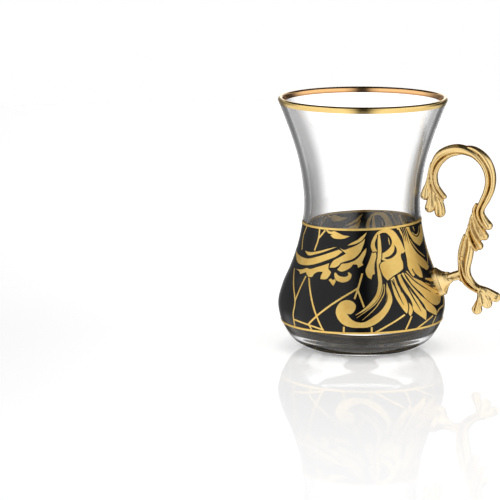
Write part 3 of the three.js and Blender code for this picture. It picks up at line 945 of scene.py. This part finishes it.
HOOK = [
    [(41.2, 80.9, 0.3, 1.2), (44.0, 80.3, 0.87, 1.7), (47.0, 78.6, 1.2, 1.9), (49.5, 75.8, 1.5, 2.0),
     (51.4, 72.2, 1.3, 2.0), (52.1, 68.3, 1.1, 2.0), (51.6, 64.4, 1.0, 2.0), (50.0, 60.6, 1.0, 2.0),
     (48.2, 57.0, 0.77, 1.9), (48.0, 54.8, 0.86, 1.9), (49.2, 52.3, 1.3, 2.1), (50.4, 50.4, 1.7, 2.2)],
    [(32.1, 59.3, 0.55, 1.3), (30.3, 61.7, 0.7, 1.5), (28.8, 64.0, 0.73, 1.6), (27.9, 67.2, 0.7, 1.7),
     (27.9, 71.3, 0.85, 1.9), (28.9, 74.5, 1.2, 2.1), (31.0, 77.3, 1.6, 2.2), (34.3, 79.1, 1.8, 2.3),
     (38.1, 79.7, 2.0, 2.3), (41.4, 79.2, 1.8, 2.3), (44.6, 77.8, 1.5, 2.2), (47.4, 75.0, 1.2, 2.0),
     (49.3, 71.5, 1.1, 2.0), (49.9, 67.4, 1.0, 2.0), (49.2, 63.5, 1.0, 2.0), (47.6, 59.8, 0.9, 2.0),
     (46.2, 56.1, 0.74, 2.0), (46.8, 53.0, 0.76, 2.0), (49.2, 49.5, 0.64, 1.9)],
    [(38.9, 78.0, 0.48, 1.3), (34.9, 77.0, 0.71, 1.6), (32.0, 74.9, 0.86, 1.7), (30.2, 72.5, 0.9, 1.7),
     (29.3, 70.0, 0.89, 1.7), (29.3, 67.3, 0.89, 1.7), (30.0, 64.8, 0.87, 1.6), (31.4, 62.8, 0.87, 1.6),
     (32.9, 60.9, 0.91, 1.6)],
    [(44.4, 79.4, 0.43, 0.9), (48.0, 76.1, 0.42, 0.9), (50.3, 71.7, 0.42, 0.9), (50.9, 67.5, 0.41, 0.9),
     (49.9, 62.8, 0.42, 0.9), (47.6, 58.4, 0.42, 0.9), (47.1, 55.2, 0.41, 0.9), (48.5, 51.8, 0.42, 0.9),
     (49.9, 49.5, 0.42, 0.9)],
    [(33.4, 76.4, 0.39, 0.8), (30.0, 74.1, 0.39, 0.8), (28.5, 70.0, 0.38, 0.8), (28.8, 65.7, 0.38, 0.8),
     (30.6, 62.2, 0.39, 0.8), (32.5, 60.1, 0.39, 0.8)],
]
HOOK_LEAVES = [
    ((), [(27.4, 73.8, 0.32, 1.2), (26.9, 71.1, 0.48, 1.4), (26.5, 68.3, 0.6, 1.6),
        (26.1, 65.6, 0.92, 1.8), (25.5, 63.0, 1.5, 2.0), (25.2, 61.1, 1.8, 2.1)]),
    ((), [(27.2, 67.6, 0.28, 1.3), (27.0, 64.0, 0.4, 1.8), (26.8, 61.0, 0.4, 1.8)]),
    ((0.4,), [(27.4, 64.8, 0.4, 1.2), (27.6, 62.1, 0.73, 1.5), (27.4, 59.7, 1.3, 1.8),
        (27.1, 56.4, 2.0, 2.0)]),
    ((-0.35, 0.45), [(29.0, 63.3, 0.4, 1.3), (30.1, 60.6, 0.88, 1.6), (31.0, 57.6, 1.8, 2.0),
        (31.2, 54.9, 2.2, 2.1)]),
]
print(len(HOOK), "ribs in the hook,", len(HOOK_LEAVES), "leaves at its tip")

# %% [markdown]
# The stem carries the hook. Leaves fan out where the two meet, a small knuckle sits on the stem's left
# edge, and below it the stem swings out to the foot leaf. The arm joins the stem to the pad.

# %% The stem, the foot leaf and the arm
STEM_FLUTE = 0.7

STEM_LEAVES = [
    ((-0.15, -0.7), [(45.5, 58.6, 0.48, 1.3), (44.7, 56.6, 0.72, 1.7), (44.8, 54.3, 0.8, 1.9),
        (45.8, 51.6, 1.0, 2.1), (47.4, 49.0, 1.2, 2.3), (49.0, 46.2, 1.6, 2.5)]),
    ((), [(44.2, 55.1, 0.4, 1.3), (44.6, 52.0, 0.64, 1.8), (45.8, 48.7, 0.8, 2.1),
        (47.7, 45.4, 0.92, 2.2)]),
    ((-0.2, -0.7), [(43.4, 53.1, 0.48, 1.5), (43.3, 50.3, 0.76, 1.8), (44.0, 47.6, 1.0, 2.1),
        (45.3, 45.0, 1.2, 2.3), (46.9, 42.3, 1.6, 2.5)]),
    ((), [(42.6, 50.3, 0.4, 1.5), (42.6, 46.8, 0.52, 1.7), (43.4, 44.3, 0.56, 1.9),
        (44.7, 42.0, 0.56, 2.0), (45.8, 40.6, 0.52, 1.9)]),
]
STEM = [
    [(42.7, 46.0, 0.72, 1.6), (43.4, 42.1, 1.4, 1.9), (43.0, 38.9, 1.6, 2.0), (42.5, 36.2, 1.6, 2.0),
     (42.2, 33.4, 1.3, 2.0), (42.6, 30.7, 1.2, 2.0), (43.8, 28.6, 1.1, 2.0), (45.4, 26.9, 1.0, 1.9),
     (47.4, 25.7, 0.91, 1.9)],
    [(42.2, 48.7, 0.4, 1.4), (41.7, 45.5, 0.72, 1.8), (41.0, 42.4, 0.88, 1.9), (40.2, 38.6, 0.88, 2.0)],
    [(40.9, 46.3, 0.4, 1.2), (39.8, 42.7, 0.56, 1.6), (39.2, 38.7, 0.68, 1.8), (39.3, 34.8, 0.72, 1.9),
     (39.6, 31.3, 0.72, 1.9), (41.0, 28.0, 0.64, 1.8), (43.4, 25.8, 0.56, 1.8), (46.2, 24.3, 0.52, 1.6)],
    [(40.2, 37.8, 1.0, 2.4), (40.2, 37.0, 1.0, 2.4)],
    [(40.0, 36.0, 0.48, 2.1), (40.6, 33.3, 0.52, 2.2), (41.4, 30.4, 0.52, 2.2), (43.4, 27.7, 0.48, 2.1),
     (46.4, 25.5, 0.44, 2.0)],
]
FOOT_LEAVES = [
    ((-0.5, 0.3), [(47.2, 25.0, 0.77, 1.7), (47.1, 21.8, 0.8, 1.8), (46.8, 19.8, 1.3, 1.9),
        (46.3, 17.4, 2.1, 2.0)]),
    ((-0.6, -0.2, 0.25), [(47.1, 25.2, 0.8, 1.7), (48.5, 23.5, 1.1, 1.9), (49.7, 21.6, 1.6, 2.1),
        (50.3, 19.9, 2.0, 2.1)]),
    ((-0.5, 0.0, 0.45), [(47.4, 26.0, 0.87, 1.7), (50.2, 24.8, 1.3, 1.9), (52.0, 23.6, 1.7, 2.0),
        (53.6, 22.6, 2.0, 2.1)]),
]
ARM = [
    [(35.0, 29.9, 1.0, 1.9), (36.6, 30.5, 1.1, 1.9), (39.2, 31.4, 1.1, 1.9)],
    [(34.1, 29.1, 0.79, 1.7), (35.7, 28.7, 0.67, 1.6), (37.6, 28.8, 0.59, 1.5), (39.8, 29.5, 0.55, 1.5)],
    [(39.6, 28.6, 0.44, 1.2), (40.8, 28.0, 0.4, 1.2)],
]
print(len(STEM_LEAVES), "leaves and", len(STEM), "ribs in the stem,", len(FOOT_LEAVES), "foot leaves")

# %% [markdown]
# Molten metal leaves no slit between ribs that touch. Flatter webs behind the ribs fill those slits,
# and the ribs stay proud of them.

# %% The webs between the ribs
WEBS = [
    [(27.9, 66.0, 0.64, 1.2), (28.7, 62.6, 1.0, 1.3), (29.2, 59.4, 1.0, 1.3), (29.3, 57.1, 0.8, 1.2),
     (29.6, 55.5, 0.56, 1.0)],
    [(43.9, 53.9, 0.64, 1.3), (45.0, 48.8, 1.0, 1.5), (46.8, 45.0, 0.88, 1.5)],
    [(42.6, 46.8, 1.0, 1.2), (41.5, 42.0, 1.0, 1.3), (40.8, 37.2, 1.0, 1.4), (40.9, 33.3, 1.0, 1.4),
     (42.4, 29.3, 0.88, 1.4), (45.8, 25.9, 0.88, 1.4)],
    [(47.4, 25.0, 1.0, 1.4), (47.9, 21.9, 1.4, 1.4), (48.4, 20.0, 1.2, 1.3)],
    [(48.6, 25.5, 0.88, 1.4), (50.8, 23.0, 1.2, 1.4), (51.6, 21.7, 1.0, 1.3)],
    [(34.3, 29.4, 1.0, 1.3), (39.0, 30.2, 0.95, 1.3)],
]
print(len(WEBS), "webs")

# %% [markdown]
# The pad is an oval trumpet with its bell on the glass. It leans with the belly's slope, and its wide
# end runs into the glass, to be cut to the belly's exact round below.

# %% The pad and the whole bundle
PAD_RADIUS = 5.7
PAD_SIDES = 64
PAD_SQUEEZE = 0.66
PAD_CENTRE = (31.7, 27.8)
PAD_TILT = math.radians(25)
PAD_OUTLINE = [
    (0, -2.6), (PAD_RADIUS, -2.6), (PAD_RADIUS, 0.2), (5.3, 0.45), (4.7, 0.9), (3.5, 1.9), (2.6, 3.1),
    (2.1, 4.4), (0, 5.2),
]


def pad():
    """The oval trumpet pad, as points and faces."""
    verts, faces = [], []
    lean = (math.cos(PAD_TILT), math.sin(PAD_TILT))
    for k in range(PAD_SIDES):
        turn = 2 * math.pi * k / PAD_SIDES
        for r, along in PAD_OUTLINE:
            up = r * math.cos(turn)
            verts.append((
                PAD_CENTRE[0] + along * lean[0] - up * lean[1],
                PAD_SQUEEZE * r * math.sin(turn),
                PAD_CENTRE[1] + along * lean[1] + up * lean[0],
            ))
    count = len(PAD_OUTLINE)
    for k in range(PAD_SIDES):
        here, there = k * count, (k + 1) % PAD_SIDES * count
        faces += [(here + i, here + i + 1, there + i + 1, there + i) for i in range(count - 1)]
    return np.array(verts), faces


bundle = [strand(rib) for rib in HOOK]
bundle += [strand(leaf, flutes, HOOK_FLUTE) for flutes, leaf in HOOK_LEAVES]
bundle += [strand(leaf, flutes, STEM_FLUTE) for flutes, leaf in STEM_LEAVES]
bundle += [strand(rib) for rib in STEM]
bundle += [strand(leaf, flutes, STEM_FLUTE) for flutes, leaf in FOOT_LEAVES]
bundle += [strand(rib) for rib in ARM + WEBS] + [pad()]
print("handle:", len(bundle), "ribs, leaves and webs")

# %% [markdown]
# ## Gold plating
#
# Zinc castings are polished, copper plated and then flash plated with yellow gold. The plating is
# bright, with the softened look of a barrel polish. The deep creases are painted dark brown and a
# little rougher, as painted shade. How deep a point lies in a crease is measured on the mesh itself
# and stored as an attribute, so the painted shade follows the shape and needs no picture. The edge
# tint is the copper that shows through where the eye grazes the thin gold.

# %% Gold plating
plating, tree, shader = surface("gold_plated_zinc_polished", {
    "Specular Tint": linear("B08848"), "Metallic": 1.0})
crease = add(tree, "ShaderNodeAttribute", attribute_name="crease")
spot = add(tree, "ShaderNodeTexCoord")
cloud = add(tree, "ShaderNodeTexNoise", {
    "Vector": spot.outputs["Object"], "Scale": 1 / (3 * MM), "Detail": 4.0})
tone = add(tree, "ShaderNodeMix", {
    "Factor": cloud.outputs["Fac"], 6: linear("F0CC84"), 7: linear("FADFA6")}, data_type="RGBA")
# Painted shade: the crease attribute darkens the plating to brown in the creases.
dark = add(tree, "ShaderNodeMix", {
    "Factor": crease.outputs["Fac"], 6: tone.outputs[2], 7: linear("4A2A0C")}, data_type="RGBA")
tree.links.new(dark.outputs[2], shader.inputs["Base Color"])
ripple(tree, shader, 0.5, 0.08, 0.05, detail=3.0)
dull = add(tree, "ShaderNodeMapRange", {"Value": crease.outputs["Fac"], "To Min": 0.27, "To Max": 0.5})
tree.links.new(dull.outputs["Result"], shader.inputs["Roughness"])
print("gold plating with brown creases")

# %% [markdown]
# ## Casting the handle in one skin
#
# Remeshing the bundle does what casting does: it fuses the ribs and softens every crease. The grid of
# about a fifth of a millimetre keeps the flutes and stays under the size where a mesh becomes heavy.
# The part of the pad that runs into the glass is cut off with a turned plug that is a hair larger
# than the glass, so the pad sits on the belly like the real one.

# %% Casting the handle in one skin
CAST_GRID = 0.19
SMOOTH_PASSES = 5
GLUE_GAP = 0.05
PLUG_STEPS = 200


def plain(name, parts):
    """A helper object from (points, faces) parts in millimetres."""
    mesh = joined(name, parts, MM)
    finish_mesh(mesh)
    return placed(name, mesh)


def cast(parts):
    """Fuses the parts into one smooth skin and cuts the belly of the glass out of it."""
    raw = plain("handle_raw", parts)
    fuse = raw.modifiers.new("fuse", "REMESH")
    fuse.mode = "VOXEL"
    fuse.voxel_size = CAST_GRID * MM
    soften = raw.modifiers.new("soften", "SMOOTH")
    soften.factor = 0.5
    soften.iterations = SMOOTH_PASSES
    top = OUTER[-1, 1]
    plug_outline = np.concatenate([[(0, -1)], skin(0, top, GLUE_GAP, PLUG_STEPS), [(0, top)]])
    plug = turned("plug", plug_outline, plating)
    trim = raw.modifiers.new("trim", "BOOLEAN")
    trim.operation = "DIFFERENCE"
    trim.solver = "MANIFOLD"
    trim.object = plug
    ready = raw.evaluated_get(bpy.context.evaluated_depsgraph_get())
    mesh = bpy.data.meshes.new_from_object(ready)
    for helper in (raw, plug):
        bpy.data.objects.remove(helper)
    return mesh


handle_mesh = cast(bundle)
handle_mesh.name = "cast_handle"
finish_mesh(handle_mesh)
handle_mesh.materials.clear()
handle_mesh.materials.append(plating)
handle = placed("cast_handle", handle_mesh)
print("cast handle:", len(handle_mesh.polygons), "faces")

# %% [markdown]
# A point lies in a crease where the surface round it stands higher. Averaging each point with its
# neighbours a few times gives a smoothed surface, and the height of that surface over the real one is
# the depth of the crease there.

# %% Measuring the creases
SPREAD_PASSES = 10
BLUR_PASSES = 8
CREASE_START = 0.06
CREASE_END = 0.5


def mark_creases(mesh):
    """Stores how far each point lies in a hollow, from 0 to 1, as the attribute crease."""
    count = len(mesh.vertices)
    points = np.zeros(count * 3)
    mesh.vertices.foreach_get("co", points)
    points = points.reshape(-1, 3) / MM
    normals = np.zeros(count * 3)
    mesh.vertices.foreach_get("normal", normals)
    normals = normals.reshape(-1, 3)
    ends = np.zeros(len(mesh.edges) * 2, int)
    mesh.edges.foreach_get("vertices", ends)
    a, b = ends.reshape(-1, 2).T
    near = np.bincount(a, minlength=count) + np.bincount(b, minlength=count)

    def averaged(values):
        total = np.bincount(a, values[b], count) + np.bincount(b, values[a], count)
        return total / np.maximum(near, 1)

    middle = points.copy()
    for _ in range(SPREAD_PASSES):
        middle = np.stack([averaged(middle[:, k]) for k in range(3)], axis=1)
    hollow = np.einsum("ij,ij->i", middle - points, normals)
    for _ in range(BLUR_PASSES):
        hollow = averaged(hollow)
    share = np.clip((hollow / CAST_GRID - CREASE_START) / (CREASE_END - CREASE_START), 0, 1)
    mesh.attributes.new("crease", "FLOAT", "POINT").data.foreach_set("value", share.astype(np.float32))
    return share


shares = mark_creases(handle_mesh)
print("creases cover", round(float((shares > 0.5).mean()), 3), "of the handle")

# %% [markdown]
# ## The studio round the glass
#
# Clear glass is drawn by what stands round it. The studio is therefore written down as brightness
# round the horizon, from 0 degrees at the camera to 180 behind the glass: two large soft sheets left
# and right of the camera with a narrow dark gap between them, dark surroundings at the sides, and a
# white sweep behind. The gold and the enamel show the gap as a dark stripe, and the wall's bending
# edges pick up the dark sides as grey. Higher up it is bright all round except for the gap, and
# below the horizon it is dark behind. The ceiling is dark, which draws the lip as a thin dark line,
# and straight down the white stand shines through the glass. The camera sees plain white.

# %% The levels of the studio
HORIZON = [
    (-180, 1.45), (-178, 1.15), (-176, 0.7), (-174, 0.4), (-165, 0.25), (-150, 0.15), (-125, 0.35),
    (-110, 0.55), (-95, 1.1), (-30, 1.18), (-18, 0.8), (-7, 0.05), (0, 0.02), (5, 0.05), (17, 0.8),
    (30, 1.18), (88, 1.1), (103, 0.4), (120, 0.05), (150, 0.06), (163, 0.3), (167, 0.45), (172, 1.25),
    (180, 1.45),
]
UPPER = [
    (-180, 1.0), (-100, 1.1), (-30, 1.18), (-18, 0.8), (-7, 0.05), (5, 0.05), (17, 0.8), (30, 1.18),
    (100, 1.1), (180, 1.0),
]
TABLE = [
    (-180, 0.05), (-155, 0.1), (-138, 0.9), (-30, 1.18), (-18, 0.8), (-7, 0.05), (5, 0.05), (17, 0.8),
    (30, 1.18), (138, 0.8), (155, 0.1), (180, 0.05),
]
UPPER_FADE = (0.2, 0.4)
TABLE_FADE = (-0.22, -0.45)
CEILING_TURN = (-0.4, 0.2)
CEILING_EDGE = (0.3, 0.62)
CEILING_BLEND = 0.12
CEILING_LEVEL = 0.03
STAND_FADE = (-0.84, -0.76)
STAND_LEVEL = 0.85


def fill_ramp(ramp, stops, low=-180, high=180):
    """Puts (value, level) stops on a ramp that runs from the value low to the value high."""
    elements = ramp.color_ramp.elements
    elements.remove(elements[-1])
    for number, (value, level) in enumerate(stops):
        place = (value - low) / (high - low)
        stop = elements[0] if number == 0 else elements.new(place)
        stop.position = place
        stop.color = (level, level, level, 1)
    return ramp.outputs["Color"]


print("studio:", len(HORIZON), "stops round the horizon,", len(UPPER), "above,", len(TABLE), "below")

# %% [markdown]
# The world takes a direction and turns it into an azimuth, seen from the camera, and a height from
# -1 straight down to 1 straight up. The azimuth picks a level from each list, the height blends them,
# and the ceiling's edge sinks lower behind the glass than over the camera.

# %% The studio round the glass
def set_world():
    """White for the camera; for everything else the studio's brightness by direction."""
    world = bpy.data.worlds.new("studio")
    bpy.context.scene.world = world
    world.use_nodes = True
    tree = world.node_tree
    tree.nodes.clear()
    way = add(tree, "ShaderNodeTexCoord")
    faced = add(tree, "ShaderNodeMapping", {
        "Vector": way.outputs["Generated"], "Rotation": (0, 0, -VIEW_TURN)})
    parts = add(tree, "ShaderNodeSeparateXYZ", {0: faced.outputs[0]})
    height = parts.outputs["Z"]
    toward = add(tree, "ShaderNodeMath", {0: parts.outputs["Y"], 1: -1.0}, operation="MULTIPLY")
    azimuth = add(tree, "ShaderNodeMath", {0: parts.outputs["X"], 1: toward.outputs[0]}, operation="ARCTAN2")
    share = add(tree, "ShaderNodeMath", {
        0: azimuth.outputs[0], 1: 1 / (2 * math.pi), 2: 0.5}, operation="MULTIPLY_ADD")
    level_at, above, below = [
        fill_ramp(add(tree, "ShaderNodeValToRGB", {"Fac": share.outputs[0]}), stops)
        for stops in (HORIZON, UPPER, TABLE)
    ]
    low, high = [
        add(tree, "ShaderNodeMapRange", {
            "Value": height, "From Min": start, "From Max": end, "To Min": 0.0, "To Max": 1.0},
            interpolation_type="SMOOTHSTEP")
        for start, end in (TABLE_FADE, UPPER_FADE)
    ]
    raised = add(tree, "ShaderNodeMix", {
        "Factor": high.outputs[0], 6: level_at, 7: above}, data_type="RGBA")
    around = add(tree, "ShaderNodeMix", {
        "Factor": low.outputs[0], 6: raised.outputs[2], 7: below}, data_type="RGBA")
    top = add(tree, "ShaderNodeMapRange", {
        "Value": toward.outputs[0], "From Min": CEILING_TURN[0], "From Max": CEILING_TURN[1],
        "To Min": CEILING_EDGE[0], "To Max": CEILING_EDGE[1]})
    over = add(tree, "ShaderNodeMath", {0: height, 1: top.outputs[0]}, operation="SUBTRACT")
    ceiling = add(tree, "ShaderNodeMapRange", {
        "Value": over.outputs[0], "From Min": 0.0, "From Max": CEILING_BLEND,
        "To Min": 1.0, "To Max": CEILING_LEVEL}, interpolation_type="SMOOTHSTEP")
    under = add(tree, "ShaderNodeMapRange", {
        "Value": height, "From Min": STAND_FADE[0], "From Max": STAND_FADE[1],
        "To Min": STAND_LEVEL, "To Max": 0.0}, interpolation_type="SMOOTHSTEP")
    lit = add(tree, "ShaderNodeMath", {0: around.outputs[2], 1: ceiling.outputs[0]}, operation="MULTIPLY")
    level = add(tree, "ShaderNodeMath", {0: lit.outputs[0], 1: under.outputs[0]}, operation="MAXIMUM")
    room = add(tree, "ShaderNodeBackground", {"Color": (1, 1, 1, 1), "Strength": level.outputs[0]})
    white = add(tree, "ShaderNodeBackground", {"Color": (1, 1, 1, 1), "Strength": 1.0})
    seen = add(tree, "ShaderNodeLightPath")
    both = add(tree, "ShaderNodeMixShader", {
        0: seen.outputs["Is Camera Ray"], 1: room.outputs[0], 2: white.outputs[0]})
    add(tree, "ShaderNodeOutputWorld", {"Surface": both.outputs[0]})


set_world()
bpy.context.scene.view_settings.view_transform = "Standard"
print("the studio stands round the glass")

# %% [markdown]
# ## The floor and the lamp over it
#
# The glass stands on white acrylic, which mirrors it faintly. Its polish fades outwards, so the
# mirror image fades as well. A soft lamp hangs over the floor, and the floor is given a painted glow
# of its own, painted light that lifts it to the white of the backdrop. The glow is left out right at
# the foot, which paints the foot's small contact shadow. The floor is kept out of the reflections, as
# a photographer keeps it out with black card.

# %% The floor and the lamp over it
FLOOR_RADIUS = 0.75
FLOOR_SIDES = 96
POLISH_REACH = 0.3
POLISH = [(0, 0.0), (19, 0.0), (25, 0.6), (90, 0.55), (180, 0.4), (300, 0.25)]
# Painted light: the floor's own glow by distance from the axis, zero under the foot as a painted contact
# shadow.
PAINTED_GLOW_AND_SHADOW = [(0, 0.0), (18, 0.0), (26, 0.36), (36, 0.54), (90, 0.55), (180, 0.59), (300, 0.6)]
LAMP_POWER = 14
LAMP_SIZE = 1.6
LAMP_HEIGHT = 2.4


def lay_floor():
    """A pale disc whose polish fades away from the glass, with a painted glow and a painted contact shadow.
    """
    paint, tree, shader = surface("white_acrylic_floor", {
        "Base Color": (0.9, 0.9, 0.9, 1), "Roughness": 0.9, "Specular IOR Level": 0.0,
        "Coat Roughness": 0.02, "Emission Color": (1, 1, 1, 1)})
    spot = add(tree, "ShaderNodeTexCoord")
    away = add(tree, "ShaderNodeVectorMath", {0: spot.outputs["Object"]}, operation="LENGTH")
    share = add(tree, "ShaderNodeMath", {0: away.outputs["Value"], 1: POLISH_REACH}, operation="DIVIDE")
    for stops, name in ((POLISH, "Coat Weight"), (PAINTED_GLOW_AND_SHADOW, "Emission Strength")):
        ramp = add(tree, "ShaderNodeValToRGB", {"Fac": share.outputs[0]})
        tree.links.new(fill_ramp(ramp, stops, 0, POLISH_REACH / MM), shader.inputs[name])
    turn = np.linspace(0, 2 * math.pi, FLOOR_SIDES, endpoint=False)
    edge = [(FLOOR_RADIUS * math.cos(a), FLOOR_RADIUS * math.sin(a), 0) for a in turn]
    mesh = bpy.data.meshes.new("floor")
    mesh.from_pydata(edge, [], [tuple(range(FLOOR_SIDES))])
    mesh.materials.append(paint)
    floor = placed("floor", mesh)
    floor.visible_glossy = False
    floor.visible_transmission = False
    floor.visible_shadow = False


lay_floor()
lamp = placed("overhead_lamp", bpy.data.lights.new("overhead_lamp", "AREA"))
lamp.data.shape = "DISK"
lamp.data.size = LAMP_SIZE
lamp.data.energy = LAMP_POWER
lamp.location = (0, 0, LAMP_HEIGHT)
lamp.visible_glossy = False
print("floor radius", FLOOR_RADIUS, "m")

# %% [markdown]
# ## Handing the pieces to the frame
#
# The object doesn't move, so it has one body, and every piece rides on it. The fine glass and the
# fine casting stand in for their solids, and the prints and the gilding lie on the glass.

# %% Handing the pieces to the frame
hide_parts("glass")
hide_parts("handle")
for piece in (glass, handle, enamel, gold_print, black_print, lower_line, upper_line, rim):
    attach(piece, "root")
